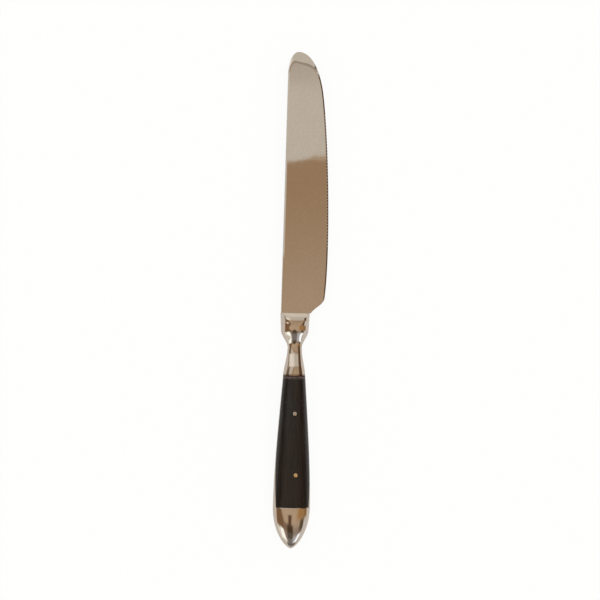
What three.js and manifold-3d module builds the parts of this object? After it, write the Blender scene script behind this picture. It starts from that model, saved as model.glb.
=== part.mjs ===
// A riveted table knife: a serrated blade brazed into a one-piece bolster, web and pommel, with two
// black wooden scales pinned on by brass rivets. Millimetres. In the knife's own frame +Y runs along the
// handle axis to the tip, -X is the spine side, +X the cutting edge, and the bolster's front is at y = 0.
// The finished knife lies level on the bolster's head and the back scale, with the origin in the middle of
// the level stretch of that scale's under face.

import * as THREE from "three";
import { mergeVertices } from "three/addons/utils/BufferGeometryUtils.js";
import Module from "manifold-3d";

// Lengths along the handle axis
const BLADE_LENGTH = 123.6;
const BOLSTER_LENGTH = 29.7;
const SCALE_LENGTH = 62.1;
const POMMEL_LENGTH = 19.6;

// Bolster: a level-faced head behind a rounded shoulder, a little to the spine side, drawn in to an oval neck
const BOLSTER_FRONT_WIDTH = 14;
const BOLSTER_HEAD_WIDTH = 13.1;
const BOLSTER_HEAD_LENGTH = 8.5;
const HEAD_OFFSET = 0.15;
const SHOULDER_LENGTH = 3.5;
const SHOULDER_LIP = 2.3;
const SHOULDER_ROUNDNESS = 2;
const NECK_DISTANCE = 16.2;
const NECK_WIDTH = 6.8;
const NECK_THICKNESS = 5.2;
const NECK_REAR_THICKNESS = 5.3;

// In thickness the head's face is level to the throat, and the neck runs almost level and then rises to a
// ferrule in front of the scales
const THROAT_DISTANCE = 7.6;
const THROAT_LENGTH = 7.6;
const NECK_LENGTH = 3.8;
const RISE_LENGTH = 6.4;
const FERRULE_THICKNESS = 8.4;

// Handle: the bolster's head, the rear of the scales and the pommel have one thickness, so the knife lies level
const HANDLE_FRONT_WIDTH = 10.6;
const HANDLE_REAR_WIDTH = 17.7;
const HANDLE_FRONT_THICKNESS = 8.55;
const HANDLE_THICKNESS = 10.6;
const SWELL_LENGTH = 32;

// Growth of the half width, and of the half thickness, for each millimetre along the axis
const HEAD_TAPER = 0.07;
const FRONT_FLARE = 0.072;
const REAR_FLARE = 0.008;
const NECK_SWELL = 0.05;
const FERRULE_SWELL = 0.03;
const FRONT_SWELL = 0.005;

// Sharpness of the pommel's point: 0.5 is an ellipse
const POMMEL_POINT = 0.67;

// Flat lands on the upper and under faces, as shares of the local width: broad at the bolster's very front
const FRONT_LAND = 0.4;
const FRONT_LAND_LENGTH = 3;
const FACE_DISTANCE = 6.4;
const HEAD_LAND = 0.2;
const NECK_LAND = 0.04;
const SCALE_LAND = 0.25;
const BUTT_LAND = 0.05;

// Tang web between the scales: thin, and opening like a wedge in front of the pommel
const WEB_THICKNESS = 1;
const WEB_REAR_THICKNESS = 5;
const WEB_WEDGE_LENGTH = 26;

// Rivets, measured from the scale's front end
const RIVET_DIAMETER = 2;
const UPPER_RIVET_DISTANCE = 17.7;
const LOWER_RIVET_DISTANCE = 46.7;
const LOWER_RIVET_OFFSET = 0.9;

// Nodes of the blade's outline: offset from the handle axis, distance from the bolster or from the tip,
// and heading in degrees from the tip's direction towards the cutting edge
const FOOT_OFFSET = 7.3;
const FOOT_HEADING = 25;
const CHOIL_OFFSET = 12;
const CHOIL_DISTANCE = 4.35;
const CHOIL_HEADING = 49;
const HEEL_OFFSET = 13.9;
const HEEL_DISTANCE = 8;
const HEEL_HEADING = 6;
const SWEEP_OFFSET = 11.35;
const SWEEP_FROM_TIP = 20.6;
const SWEEP_HEADING = -7.6;
const TIP_OFFSET = -0.9;
const SPINE_OFFSET_TIP = 5.8;
const SPINE_END_FROM_TIP = 10.6;
const SPINE_OFFSET_HEEL = 6.85;

// How far each node pulls the outline along its heading before the curve turns away
const FOOT_PULL = 1.6;
const CHOIL_PULL_BELOW = 2;
const CHOIL_PULL_ABOVE = 1.6;
const HEEL_PULL_BELOW = 1.7;
const HEEL_PULL_ABOVE = 22;
const SWEEP_PULL_BELOW = 23.2;
const SWEEP_PULL_ABOVE = 12.1;
const TIP_PULL_EDGE = 6.3;
const TIP_PULL_SPINE = 3.1;
const SPINE_PULL = 5.4;

// Blade section: a wedge from spine to edge, with eased margins and a rolled-off tip
const SPINE_THICKNESS_HEEL = 2.2;
const SPINE_THICKNESS_TIP = 1.7;
const EDGE_THICKNESS = 0.9;
const EDGE_LAND = 0.3;
const MARGIN_DROP = 0.35;
const SPINE_EASE = 0.6;
const EDGE_BEVEL = 0.7;
const TIP_ROLL = 4;
const TIP_ROLL_OFFSET = 1.2;
const TIP_ROLL_HALF_SPAN = 7;

// Blade tang in the bolster's socket
const TANG_LENGTH = 9;
const TANG_WIDTH = 8;

// Serrations ground into the upper face, measured along the edge: each cutter slants down outwards, in
// degrees, and bites just past the under face at the very edge
const SERRATION_PITCH = 1.48;
const SERRATION_HEEL_GAP = 24;
const SERRATION_TIP_GAP = 7.8;
const SERRATION_RADIUS = 0.68;
const SERRATION_BITE = 0.1;
const SERRATION_SLANT = 19;
const SERRATION_CUTTER_LENGTH = 6;

// Clearances: cement round the scales, braze round the tang, pins in their holes
const CEMENT_GAP = 0.3;
const BRAZE_GAP = 0.3;
const PIN_GAP = 0.15;

// Fineness of the curved surfaces
const FLANK_STEPS = 8;
const SHOULDER_STEPS = 6;
const HEAD_STEPS = 5;
const THROAT_STEPS = 10;
const NECK_STEPS = 2;
const RISE_STEPS = 8;
const FERRULE_STEPS = 2;
const SWELL_STEPS = 8;
const LEVEL_STEPS = 4;
const POMMEL_STEPS = 14;
const OUTLINE_STEPS = 24;
const RIVET_SIDES = 24;
const SERRATION_SIDES = 14;

// Cutting blocks reach past the knife by this much
const BEYOND = 400;

const wasm = await Module();
wasm.setup();

// Where the parts of the handle meet along the axis
const bolsterEnd = -BOLSTER_LENGTH;
const scaleEnd = bolsterEnd - SCALE_LENGTH;
const buttEnd = scaleEnd - POMMEL_LENGTH;

// Where the handle's thickness changes its run
const throatStart = -THROAT_DISTANCE;
const neckStart = throatStart - THROAT_LENGTH;
const riseStart = neckStart - NECK_LENGTH;
const riseEnd = riseStart - RISE_LENGTH;
const levelStart = bolsterEnd - SWELL_LENGTH;

// A closed geometry as a solid that can be cut and joined.
function solidOf(geometry) {
  const bare = geometry.clone();
  bare.deleteAttribute("normal");
  bare.deleteAttribute("uv");
  const merged = mergeVertices(bare);
  return new wasm.Manifold(
    new wasm.Mesh({
      numProp: 3,
      vertProperties: new Float32Array(merged.attributes.position.array),
      triVerts: new Uint32Array(merged.index.array),
    }),
  );
}

function geometryOf(solid) {
  const mesh = solid.getMesh();
  const geometry = new THREE.BufferGeometry();
  geometry.setAttribute("position", new THREE.BufferAttribute(mesh.vertProperties, 3));
  geometry.setIndex(new THREE.BufferAttribute(mesh.triVerts, 1));
  const faceted = geometry.toNonIndexed();
  faceted.computeVertexNormals();
  return faceted;
}

// A cutting block between two opposite corners.
function block(low, high) {
  const size = high.clone().sub(low);
  const centre = low.clone().add(high).multiplyScalar(0.5);
  return solidOf(new THREE.BoxGeometry(size.x, size.y, size.z).translate(centre.x, centre.y, centre.z));
}

function meshOf(points, triangles) {
  const geometry = new THREE.BufferGeometry().setFromPoints(points);
  geometry.setIndex(triangles);
  return geometry;
}

// The skin over a row of rings that all have the same number of points.
function skinOf(rings) {
  const count = rings[0].length;
  const triangles = [];
  for (let ring = 0; ring + 1 < rings.length; ring++) {
    for (let i = 0; i < count; i++) {
      const a = ring * count + i;
      const b = ring * count + ((i + 1) % count);
      triangles.push(a, b, a + count, b, b + count, a + count);
    }
  }
  return triangles;
}

// A loft whose two ends are drawn to a point.
function loftToPoints(rings, startPoint, endPoint) {
  const count = rings[0].length;
  const points = [...rings.flat(), startPoint, endPoint];
  const start = points.length - 2;
  const end = points.length - 1;
  const last = (rings.length - 1) * count;
  const triangles = skinOf(rings);
  for (let i = 0; i < count; i++) {
    const next = (i + 1) % count;
    triangles.push(start, next, i, end, last + i, last + next);
  }
  return meshOf(points, triangles);
}

// A loft from an under face up to an upper face.
function loftBetweenFaces(rings) {
  const last = (rings.length - 1) * rings[0].length;
  const triangles = skinOf(rings);
  for (const [a, b, c] of THREE.ShapeUtils.triangulateShape(rings[0], [])) {
    triangles.push(c, b, a);
  }
  for (const [a, b, c] of THREE.ShapeUtils.triangulateShape(rings.at(-1), [])) {
    triangles.push(last + a, last + b, last + c);
  }
  return meshOf(rings.flat(), triangles);
}

// A smooth run between two stations, with its rate of change given at each.
function run(from, to, y) {
  const length = to.y - from.y;
  const t = (y - from.y) / length;
  const ease = t * t * (3 - 2 * t);
  const leave = t * (1 - t) * (1 - t) * length * from.rate;
  const arrive = t * t * (t - 1) * length * to.rate;
  return from.value + (to.value - from.value) * ease + leave + arrive;
}

function halfWidth(y) {
  const front = { y: 0, value: BOLSTER_FRONT_WIDTH / 2, rate: HEAD_TAPER };
  const head = { y: -BOLSTER_HEAD_LENGTH, value: BOLSTER_HEAD_WIDTH / 2, rate: HEAD_TAPER };
  const neck = { y: -NECK_DISTANCE, value: NECK_WIDTH / 2, rate: 0 };
  const grip = { y: bolsterEnd, value: HANDLE_FRONT_WIDTH / 2, rate: -FRONT_FLARE };
  const rear = { y: scaleEnd, value: HANDLE_REAR_WIDTH / 2, rate: -REAR_FLARE };
  if (y > head.y) return run(front, head, y);
  if (y > neck.y) return run(head, neck, y);
  if (y > grip.y) return run(neck, grip, y);
  if (y > rear.y) return run(grip, rear, y);
  return rear.value * pommelShare(y);
}

// How far the middle of the section lies from the axis.
function middle(y) {
  const head = { y: -BOLSTER_HEAD_LENGTH, value: -HEAD_OFFSET, rate: 0 };
  const neck = { y: -NECK_DISTANCE, value: 0, rate: 0 };
  if (y > head.y) return head.value;
  if (y > neck.y) return run(head, neck, y);
  return neck.value;
}

function halfThickness(y) {
  const head = { y: throatStart, value: HANDLE_THICKNESS / 2, rate: 0 };
  const neck = { y: neckStart, value: NECK_THICKNESS / 2, rate: 0 };
  const rise = { y: riseStart, value: NECK_REAR_THICKNESS / 2, rate: -NECK_SWELL };
  const ferrule = { y: riseEnd, value: FERRULE_THICKNESS / 2, rate: -FERRULE_SWELL };
  const grip = { y: bolsterEnd, value: HANDLE_FRONT_THICKNESS / 2, rate: -FRONT_SWELL };
  const level = { y: levelStart, value: HANDLE_THICKNESS / 2, rate: 0 };
  if (y > -SHOULDER_LENGTH) return shoulderHeight(y);
  if (y > head.y) return head.value;
  if (y > neck.y) return run(head, neck, y);
  if (y > rise.y) return run(neck, rise, y);
  if (y > ferrule.y) return run(rise, ferrule, y);
  if (y > grip.y) return run(ferrule, grip, y);
  if (y > level.y) return run(grip, level, y);
  if (y > scaleEnd) return level.value;
  return level.value * pommelShare(y);
}

// The front of the bolster rounds down to a blunt lip over the blade.
function shoulderHeight(y) {
  const lip = SPINE_THICKNESS_HEEL / 2 + SHOULDER_LIP;
  const top = HANDLE_THICKNESS / 2;
  const left = 1 + y / SHOULDER_LENGTH;
  return lip + (top - lip) * (1 - left ** SHOULDER_ROUNDNESS);
}

// The pommel draws in to a blunt point.
function pommelShare(y) {
  const u = (scaleEnd - y) / POMMEL_LENGTH;
  return (1 - u * u) ** POMMEL_POINT;
}

function landShare(y) {
  const front = { y: -FRONT_LAND_LENGTH, value: FRONT_LAND, rate: 0 };
  const face = { y: -FACE_DISTANCE, value: HEAD_LAND, rate: 0 };
  const head = { y: throatStart, value: HEAD_LAND, rate: 0 };
  const neck = { y: neckStart, value: NECK_LAND, rate: 0 };
  const rise = { y: riseStart, value: NECK_LAND, rate: 0 };
  const grip = { y: bolsterEnd, value: SCALE_LAND, rate: 0 };
  const rear = { y: scaleEnd, value: SCALE_LAND, rate: 0 };
  const butt = { y: buttEnd, value: BUTT_LAND, rate: 0 };
  if (y > front.y) return FRONT_LAND;
  if (y > face.y) return run(front, face, y);
  if (y > head.y) return HEAD_LAND;
  if (y > neck.y) return run(head, neck, y);
  if (y > rise.y) return NECK_LAND;
  if (y > grip.y) return run(rise, grip, y);
  if (y > rear.y) return SCALE_LAND;
  return run(rear, butt, y);
}

// One cross-section of the handle: flat lands above and below, joined by elliptical flanks.
function handleSection(y) {
  const width = halfWidth(y);
  const height = halfThickness(y);
  const land = width * landShare(y);
  const centre = middle(y);
  const quarter = [];
  for (let i = 0; i <= FLANK_STEPS; i++) {
    const angle = (i / FLANK_STEPS) * (Math.PI / 2);
    quarter.push([land + (width - land) * Math.cos(angle), height * Math.sin(angle)]);
  }
  const back = [...quarter].reverse();
  return [
    ...quarter.map(([x, z]) => new THREE.Vector3(centre + x, y, z)),
    ...back.map(([x, z]) => new THREE.Vector3(centre - x, y, z)),
    ...quarter.slice(1).map(([x, z]) => new THREE.Vector3(centre - x, y, -z)),
    ...back.slice(0, -1).map(([x, z]) => new THREE.Vector3(centre + x, y, -z)),
  ];
}

function spaced(from, to, steps) {
  return Array.from({ length: steps }, (_, i) => from + ((to - from) * i) / steps);
}

// Stations of the handle from the bolster's front to just short of the butt.
function handleStations() {
  const pommelSwing = spaced(0, Math.PI / 2, POMMEL_STEPS);
  const stations = [
    ...spaced(0, -SHOULDER_LENGTH, SHOULDER_STEPS),
    ...spaced(-SHOULDER_LENGTH, throatStart, HEAD_STEPS),
    ...spaced(throatStart, neckStart, THROAT_STEPS),
    ...spaced(neckStart, riseStart, NECK_STEPS),
    ...spaced(riseStart, riseEnd, RISE_STEPS),
    ...spaced(riseEnd, bolsterEnd, FERRULE_STEPS),
    ...spaced(bolsterEnd, levelStart, SWELL_STEPS),
    ...spaced(levelStart, scaleEnd, LEVEL_STEPS),
    ...pommelSwing.map((swing) => scaleEnd - POMMEL_LENGTH * Math.sin(swing)),
  ];
  return stations.sort((a, b) => b - a);
}

// The whole outside of the handle, before the scales are let in.
function handleForm() {
  const rings = handleStations().map(handleSection);
  const front = new THREE.Vector3(0, 0, 0);
  const butt = new THREE.Vector3(0, buttEnd, 0);
  return solidOf(loftToPoints(rings, front, butt));
}

// Everything above the web (side 1) or below it (side -1), from a floor that opens at an angle.
function beyondWeb(side, gap, angle) {
  const half = new THREE.BoxGeometry(BEYOND, BEYOND, BEYOND).translate(0, 0, (side * BEYOND) / 2);
  half.rotateX(-side * angle);
  return solidOf(half.translate(0, scaleEnd + WEB_WEDGE_LENGTH, side * (WEB_THICKNESS / 2 + gap)));
}

// The space of one scale, drawn in by a gap.
function scaleSpace(side, gap) {
  const wedge = Math.atan((WEB_REAR_THICKNESS - WEB_THICKNESS) / 2 / WEB_WEDGE_LENGTH);
  const between = block(
    new THREE.Vector3(-BEYOND, scaleEnd + gap, -BEYOND),
    new THREE.Vector3(BEYOND, bolsterEnd - gap, BEYOND),
  );
  return between.intersect(beyondWeb(side, gap, 0)).intersect(beyondWeb(side, gap, wedge));
}

const rivets = [
  { name: "upper_rivet", distance: UPPER_RIVET_DISTANCE, offset: 0 },
  { name: "lower_rivet", distance: LOWER_RIVET_DISTANCE, offset: LOWER_RIVET_OFFSET },
];

// A bar along a rivet's axis, right through the handle.
function rivetBar(rivet, gap) {
  const radius = RIVET_DIAMETER / 2 + gap;
  const bar = new THREE.CylinderGeometry(radius, radius, BEYOND, RIVET_SIDES).rotateX(Math.PI / 2);
  return solidOf(bar.translate(rivet.offset, bolsterEnd - rivet.distance, 0));
}

function withRivetHoles(solid) {
  return rivets.reduce((left, rivet) => left.subtract(rivetBar(rivet, PIN_GAP)), solid);
}

// The socket for the blade's tang, open at the bolster's front.
function tangSocket() {
  const wide = TANG_WIDTH / 2 + BRAZE_GAP;
  const thick = SPINE_THICKNESS_HEEL / 2 + BRAZE_GAP;
  return block(
    new THREE.Vector3(-wide, -TANG_LENGTH - BRAZE_GAP, -thick),
    new THREE.Vector3(wide, BEYOND, thick),
  );
}

function frameSolid(form) {
  const open = form.subtract(scaleSpace(1, 0)).subtract(scaleSpace(-1, 0));
  return withRivetHoles(open).subtract(tangSocket());
}

function scaleSolid(form, side) {
  return withRivetHoles(form.intersect(scaleSpace(side, CEMENT_GAP)));
}

// Rivets are ground flush with the scales.
function rivetSolid(form, rivet) {
  return form.intersect(rivetBar(rivet, 0));
}

function outlineNode(x, y, headingDegrees) {
  const heading = THREE.MathUtils.degToRad(headingDegrees);
  return { at: new THREE.Vector2(x, y), heading: new THREE.Vector2(Math.sin(heading), Math.cos(heading)) };
}

// A curve that leaves one node and arrives at another along their headings.
function span(from, leave, to, arrive) {
  return new THREE.CubicBezierCurve(
    from.at,
    from.at.clone().addScaledVector(from.heading, leave),
    to.at.clone().addScaledVector(to.heading, -arrive),
    to.at,
  );
}

// The blade's margin, up the cutting edge from the tang, over the tip and back down the spine.
function bladeMargin() {
  const spineRise = BLADE_LENGTH - SPINE_END_FROM_TIP;
  const spineLean = Math.atan2(SPINE_OFFSET_HEEL - SPINE_OFFSET_TIP, spineRise);
  const foot = outlineNode(FOOT_OFFSET, 0, FOOT_HEADING);
  const choil = outlineNode(CHOIL_OFFSET, CHOIL_DISTANCE, CHOIL_HEADING);
  const heel = outlineNode(HEEL_OFFSET, HEEL_DISTANCE, HEEL_HEADING);
  const sweep = outlineNode(SWEEP_OFFSET, BLADE_LENGTH - SWEEP_FROM_TIP, SWEEP_HEADING);
  const tip = outlineNode(TIP_OFFSET, BLADE_LENGTH, -90);
  const spine = outlineNode(-SPINE_OFFSET_TIP, spineRise, 180 + THREE.MathUtils.radToDeg(spineLean));
  const spineFoot = new THREE.Vector2(-SPINE_OFFSET_HEEL, 0);
  const tangSpine = new THREE.Vector2(-SPINE_OFFSET_HEEL, -TANG_LENGTH);
  const tangEdge = new THREE.Vector2(FOOT_OFFSET, -TANG_LENGTH);
  return [
    { curve: new THREE.LineCurve(tangEdge, foot.at), ease: EDGE_BEVEL },
    { curve: span(foot, FOOT_PULL, choil, CHOIL_PULL_BELOW), ease: EDGE_BEVEL },
    { curve: span(choil, CHOIL_PULL_ABOVE, heel, HEEL_PULL_BELOW), ease: EDGE_BEVEL },
    { curve: span(heel, HEEL_PULL_ABOVE, sweep, SWEEP_PULL_BELOW), ease: EDGE_BEVEL, cuts: true },
    { curve: span(sweep, SWEEP_PULL_ABOVE, tip, TIP_PULL_EDGE), ease: EDGE_BEVEL, rolls: true },
    { curve: span(tip, TIP_PULL_SPINE, spine, SPINE_PULL), ease: SPINE_EASE, rolls: true },
    { curve: new THREE.LineCurve(spine.at, spineFoot), ease: SPINE_EASE },
    { curve: new THREE.LineCurve(spineFoot, tangSpine), ease: SPINE_EASE },
    { curve: new THREE.LineCurve(tangSpine, tangEdge), ease: SPINE_EASE },
  ];
}

// Half the blade's thickness: one plane, falling from the heel of the spine to the tip and to the edge.
function bladeFace() {
  const heel = new THREE.Vector3(-SPINE_OFFSET_HEEL, 0, SPINE_THICKNESS_HEEL / 2);
  const tip = new THREE.Vector3(-SPINE_OFFSET_TIP, BLADE_LENGTH, SPINE_THICKNESS_TIP / 2);
  const edge = new THREE.Vector3(HEEL_OFFSET, HEEL_DISTANCE, EDGE_THICKNESS / 2);
  const plane = new THREE.Plane().setFromCoplanarPoints(heel, tip, edge);
  return (point) => -(plane.normal.x * point.x + plane.normal.y * point.y + plane.constant) / plane.normal.z;
}

function outwardOf(tangent) {
  return new THREE.Vector2(tangent.y, -tangent.x);
}

// How far the face stands back at the tip, most in the middle of its width.
function tipRoll(point) {
  const across = (point.x - TIP_ROLL_OFFSET) / TIP_ROLL_HALF_SPAN;
  return TIP_ROLL * Math.max(0, 1 - across * across);
}

// The blade's outline beside the margin of its ground face, point by point.
function bladeOutline(margin) {
  return margin.flatMap(({ curve, ease, rolls }) => {
    const steps = curve.isLineCurve ? 1 : OUTLINE_STEPS;
    return spaced(0, 1, steps).map((t) => {
      const point = curve.getPoint(t);
      const face = point.clone().addScaledVector(outwardOf(curve.getTangent(t)), -ease);
      face.y -= rolls ? tipRoll(point) : 0;
      return { point, face };
    });
  });
}

function bladeBlank(margin) {
  const faceHeight = bladeFace();
  const outline = bladeOutline(margin);
  const edgeHeight = (point) => Math.max(faceHeight(point) - MARGIN_DROP, EDGE_LAND / 2);
  const edgeRing = (side) =>
    outline.map(({ point }) => new THREE.Vector3(point.x, point.y, side * edgeHeight(point)));
  const faceRing = (side) =>
    outline.map(({ face }) => new THREE.Vector3(face.x, face.y, side * faceHeight(face)));
  return solidOf(loftBetweenFaces([faceRing(-1), edgeRing(-1), edgeRing(1), faceRing(1)]));
}

// The blade steps down to its tang just in front of the bolster.
function besideTang(side) {
  const inner = (side * TANG_WIDTH) / 2;
  const outer = side * BEYOND;
  return block(
    new THREE.Vector3(Math.min(inner, outer), -BEYOND, -BEYOND),
    new THREE.Vector3(Math.max(inner, outer), BRAZE_GAP, BEYOND),
  );
}

// A slanted round cutter that leaves one scallop on the upper face of the edge.
function serrationCutter(edge, distance) {
  const u = distance / edge.getLength();
  const point = edge.getPointAt(u);
  const outward = outwardOf(edge.getTangentAt(u));
  const rise = Math.tan(THREE.MathUtils.degToRad(SERRATION_SLANT));
  const axis = new THREE.Vector3(-outward.x, -outward.y, rise).normalize();
  const bar = new THREE.CylinderGeometry(
    SERRATION_RADIUS,
    SERRATION_RADIUS,
    SERRATION_CUTTER_LENGTH,
    SERRATION_SIDES,
  );
  bar.applyQuaternion(new THREE.Quaternion().setFromUnitVectors(new THREE.Vector3(0, 1, 0), axis));
  return solidOf(bar.translate(point.x, point.y, SERRATION_RADIUS - EDGE_LAND / 2 - SERRATION_BITE));
}

function bladeSolid() {
  const margin = bladeMargin();
  const edge = margin.find((stretch) => stretch.cuts).curve;
  const room = edge.getLength() - SERRATION_HEEL_GAP - SERRATION_TIP_GAP;
  const count = Math.floor(room / SERRATION_PITCH) + 1;
  let blade = bladeBlank(margin).subtract(besideTang(1)).subtract(besideTang(-1));
  for (let i = 0; i < count; i++) {
    blade = blade.subtract(serrationCutter(edge, SERRATION_HEEL_GAP + i * SERRATION_PITCH));
  }
  return blade;
}

const steel = new THREE.MeshStandardMaterial({ color: 0xb9b0a6, roughness: 0.18, metalness: 1 });
const polishedMetal = new THREE.MeshStandardMaterial({ color: 0xc8beb2, roughness: 0.08, metalness: 1 });
const blackWood = new THREE.MeshStandardMaterial({ color: 0x2b2624, roughness: 0.45, metalness: 0 });
const brass = new THREE.MeshStandardMaterial({ color: 0xb89a6a, roughness: 0.3, metalness: 1 });

function piece(name, solid, material) {
  const mesh = new THREE.Mesh(geometryOf(solid), material);
  mesh.name = name;
  return mesh;
}

function knifeGroup() {
  const form = handleForm();
  const knife = new THREE.Group();
  knife.add(piece("blade", bladeSolid(), steel));
  knife.add(piece("handle_frame", frameSolid(form), polishedMetal));
  knife.add(piece("front_scale", scaleSolid(form, 1), blackWood));
  knife.add(piece("back_scale", scaleSolid(form, -1), blackWood));
  for (const rivet of rivets) {
    knife.add(piece(rivet.name, rivetSolid(form, rivet), brass));
  }
  return knife;
}

// Lays the knife down, with the middle of the level stretch under the back scale at the origin.
function layDown(knife) {
  knife.position.set(0, -(levelStart + scaleEnd) / 2, HANDLE_THICKNESS / 2);
  return new THREE.Group().add(knife);
}

export default layDown(knifeGroup());
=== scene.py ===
"""A riveted table knife lying on a pale floor.

Blade, bolster and pommel are polished metal, the scales are black wood and the pins are brass. Pieces are
shaped in the knife's own frame, in millimetres: +Y runs along the handle axis to the tip, -X is the spine
side, +X the cutting edge, and the bolster's front is at y = 0. Each finished mesh is then laid down in the
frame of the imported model, in metres.
"""

import math
from typing import NamedTuple

import bmesh
import bpy
from mathutils import Color, Matrix, Vector


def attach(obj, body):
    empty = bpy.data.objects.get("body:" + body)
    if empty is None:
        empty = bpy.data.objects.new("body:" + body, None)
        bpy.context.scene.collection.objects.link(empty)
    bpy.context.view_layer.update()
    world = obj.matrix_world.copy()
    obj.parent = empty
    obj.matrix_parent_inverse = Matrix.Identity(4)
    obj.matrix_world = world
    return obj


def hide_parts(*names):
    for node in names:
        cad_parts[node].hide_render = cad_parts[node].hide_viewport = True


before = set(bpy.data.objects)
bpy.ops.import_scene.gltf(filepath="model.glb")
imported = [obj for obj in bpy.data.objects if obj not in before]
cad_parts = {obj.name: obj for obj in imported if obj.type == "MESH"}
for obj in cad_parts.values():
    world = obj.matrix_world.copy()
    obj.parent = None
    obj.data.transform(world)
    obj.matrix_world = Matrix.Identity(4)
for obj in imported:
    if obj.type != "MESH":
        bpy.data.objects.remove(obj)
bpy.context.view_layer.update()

MM = 0.001

# Lengths along the handle axis
BLADE_LENGTH = 123.6
BOLSTER_LENGTH = 29.7
SCALE_LENGTH = 62.1
POMMEL_LENGTH = 19.6

# Bolster: an arched head behind a rounded shoulder, a little to the spine side, drawn in to an oval neck
BOLSTER_FRONT_WIDTH = 14.0
BOLSTER_HEAD_WIDTH = 13.1
BOLSTER_HEAD_LENGTH = 8.5
HEAD_OFFSET = 0.15
SHOULDER_LENGTH = 3.5
SHOULDER_LIP = 2.3
SHOULDER_ROUNDNESS = 2.0
HEAD_CREST = 4.8
HEAD_ARCH_RADIUS = 31.0
NECK_DISTANCE = 16.2
NECK_WIDTH = 6.8
NECK_THICKNESS = 5.2
NECK_REAR_THICKNESS = 5.3

# In thickness the head's face runs to the throat, and the neck runs almost level and then rises to a ferrule
THROAT_DISTANCE = 7.6
THROAT_LENGTH = 7.6
NECK_LENGTH = 3.8
RISE_LENGTH = 6.4
FERRULE_THICKNESS = 8.4

# Handle: the bolster's head, the rear of the scales and the pommel have one thickness
HANDLE_FRONT_WIDTH = 10.6
HANDLE_REAR_WIDTH = 17.7
HANDLE_FRONT_THICKNESS = 8.55
HANDLE_THICKNESS = 10.6
SWELL_LENGTH = 32.0

# Growth of the half width, and of the half thickness, for each millimetre along the axis
HEAD_TAPER = 0.07
FRONT_FLARE = 0.072
REAR_FLARE = 0.008
NECK_SWELL = 0.05
FERRULE_SWELL = 0.03
FRONT_SWELL = 0.005
POMMEL_POINT = 0.67

# Lands left along the crown of the faces, as shares of the local width: broad at the bolster's very front
FRONT_LAND = 0.4
FRONT_LAND_LENGTH = 3.0
FACE_DISTANCE = 6.4
HEAD_LAND = 0.03
NECK_LAND = 0.02
SCALE_LAND = 0.03
BUTT_LAND = 0.02

# Tang web between the scales: thin, and opening like a wedge in front of the pommel
WEB_THICKNESS = 1.0
WEB_REAR_THICKNESS = 5.0
WEB_WEDGE_LENGTH = 26.0

# Seams of the scales, and their rubbed front ends: how far back those round over, and by how much
SCALE_SEAM = 0.05
SCALE_FRONT_SEAM = 0.08
SCALE_FRONT_ROUND = (1.3, 0.6)

# Rivets: each one's distance behind the bolster, and its offset from the axis
RIVETS = {"upper_rivet": (17.7, 0.0), "lower_rivet": (46.7, 0.9)}
RIVET_DIAMETER = 2.0
RIVET_SEAM = 0.16
DRILL_LENGTH = 4 * HANDLE_THICKNESS

# A rivet's crown rises in steps: each is set in by a share of the radius and lifted by a share of the crown
RIVET_CROWN = 0.03
RIVET_CROWN_STEPS = ((0.3, 0.7), (0.35, 0.3))

# Tang, and the short stretch of the spine right before the bolster
TANG_LENGTH = 9.0
TANG_WIDTH = 8.0
TANG_SEAM = 0.01
ROOT_STEP = 0.15

# Nodes of the blade's outline: offset, distance along the axis, heading in degrees from the tip's direction
SPINE_HEEL = 6.85
SPINE_TIP = 5.8
SPINE_END_FROM_TIP = 10.6
FOOT = (7.3, TANG_SEAM, 25.0)
CHOIL = (12.0, 4.35, 49.0)
HEEL = (13.9, 8.0, 6.0)
SWEEP = (11.35, BLADE_LENGTH - 20.6, -7.6)
TIP = (-0.9, BLADE_LENGTH, -90.0)

# How far each node pulls the outline before the curve turns away
FOOT_PULL = 1.6
CHOIL_PULLS = (2.0, 1.6)
HEEL_PULLS = (1.7, 22.0)
SWEEP_PULLS = (23.2, 12.1)
TIP_PULLS = (6.3, 3.1)
SPINE_PULL = 5.4

# Blade section, with the width and drop of its margin at the edge and along the spine
SPINE_THICKNESS_HEEL = 2.2
SPINE_THICKNESS_TIP = 1.7
EDGE_THICKNESS = 0.9
EDGE_LAND = 0.1
EDGE_BEVEL = (0.7, 0.42)
SPINE_EASE = (0.6, 0.16)
SHEER = (0.0, 0.0)

# Crescent rolled off at the tip: its depth, where it is deepest, its span to each side, its fade at the
# spine, and the soft step along its inner side
TIP_ROLL = 5.35
TIP_ROLL_OFFSET = 0.3
TIP_ROLL_SPANS = (7.3, 9.3)
TIP_ROLL_FADE = 2.2
TIP_STEP = (0.3, 1.5)
TIP_STEP_DEPTH = 0.05

# Serrations along the edge, cut down to a little above its under side
SERRATION_PITCH = 1.48
SERRATION_HEEL_GAP = 24.0
SERRATION_TIP_GAP = 7.8
SERRATION_WIDTH = 0.84
SERRATION_HEIGHT = 1.3
SERRATION_FLOOR = 0.06
SERRATION_SLANT = 24.0
SERRATION_CUTTER_LENGTH = 6.0


class Round(NamedTuple):
    """Softening of worked edges: its width, its facets, and how sharp a corner has to be, in degrees."""
    width: float
    facets: int
    corner: float


FRAME_ROUND = Round(0.22, 3, 40)
SCALE_ROUND = Round(0.3, 4, 50)
BLADE_ROUND = Round(0.07, 2, 35)
RIVET_ROUND = Round(0.2, 4, 60)

# Folds that stay crisp in the shading turn by more than this, in degrees
HANDLE_CREASE = 32
BLADE_CREASE = 3

# Fineness of the sections
LAND_STEPS = 3
UPPER_FLANK_STEPS = 26
LOWER_FLANK_STEPS = 6
SCALE_FLOOR_STEPS = 6
PIN_SIDES = 48
CUTTER_SIDES = 28

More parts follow.
